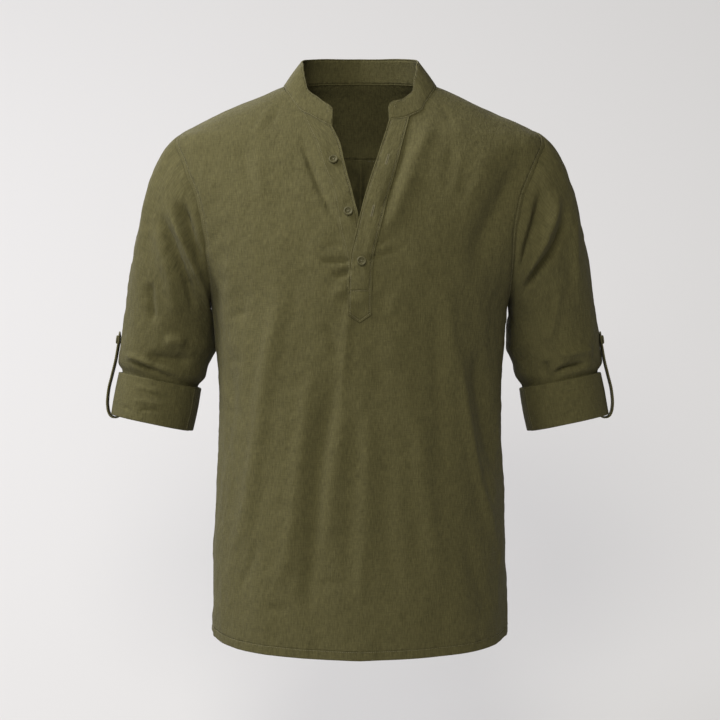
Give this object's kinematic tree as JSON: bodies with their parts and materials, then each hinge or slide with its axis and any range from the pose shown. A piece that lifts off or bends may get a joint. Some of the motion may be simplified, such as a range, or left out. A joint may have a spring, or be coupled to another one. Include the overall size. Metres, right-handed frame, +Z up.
{
  "type": "band collar shirt",
  "caption": "Pullover linen shirt with a band collar, an open half placket and long sleeves rolled to cuffs held by buttoned straps, filled out as if worn.",
  "frame": {"origin": "middle of the neck opening, at the height where the collar meets the two shoulders", "axes": "+Z up along the shirt, +X towards the viewer's right as the shirt is seen from the front, -Y out of the front"},
  "size_m": [0.6254, 0.2794, 0.7368],
  "materials": {
    "olive_linen": "matt plain-weave linen",
    "olive_button": "satin"
  },
  "bodies": {
    "root": {"front": "olive_linen", "back": "olive_linen", "yoke": "olive_linen", "collar_band": "olive_linen", "placket_over": "olive_linen", "placket_under": "olive_linen", "sleeve_left": "olive_linen", "sleeve_right": "olive_linen", "cuff_left": "olive_linen", "cuff_right": "olive_linen", "tab_left": "olive_linen", "tab_right": "olive_linen", "button_placket_1": "olive_button", "button_placket_2": "olive_button", "button_placket_3": "olive_button", "button_tab_left": "olive_button", "button_tab_right": "olive_button"}
  },
  "joints": []
}
